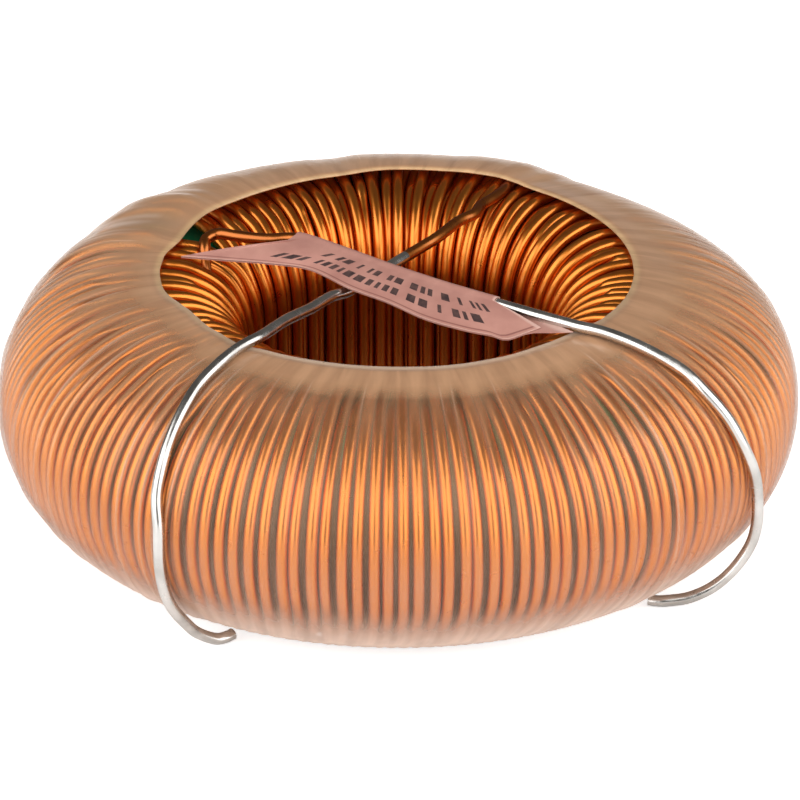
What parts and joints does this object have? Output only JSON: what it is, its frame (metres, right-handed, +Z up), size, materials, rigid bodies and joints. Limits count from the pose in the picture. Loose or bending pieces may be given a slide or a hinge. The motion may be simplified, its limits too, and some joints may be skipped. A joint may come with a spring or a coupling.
{
  "type": "toroidal inductor",
  "caption": "Ring-core inductor wound with enamelled wire, under a translucent shrunk sleeve, with two formed tinned leads and a folded tag.",
  "frame": {"origin": "on the ring's axis, at the height of the flat ring that the part stands on", "axes": "+Z up along the ring's axis, towards the side from which both leads leave; the leads come down over the outside on the -Y side, lead A towards +X and lead B towards -X"},
  "size_m": [0.116, 0.116, 0.0421],
  "materials": {
    "core_iron": "matt, sintered",
    "insulation": "smooth coating",
    "wire": "clear enamel over copper, tinned lead ends",
    "film": "translucent shrunk film",
    "tag": "thin folded film tag"
  },
  "bodies": {
    "root": {"core": "core_iron", "core_wrap": "insulation", "winding": "wire", "sleeve": "film", "tag": "tag"}
  },
  "joints": []
}
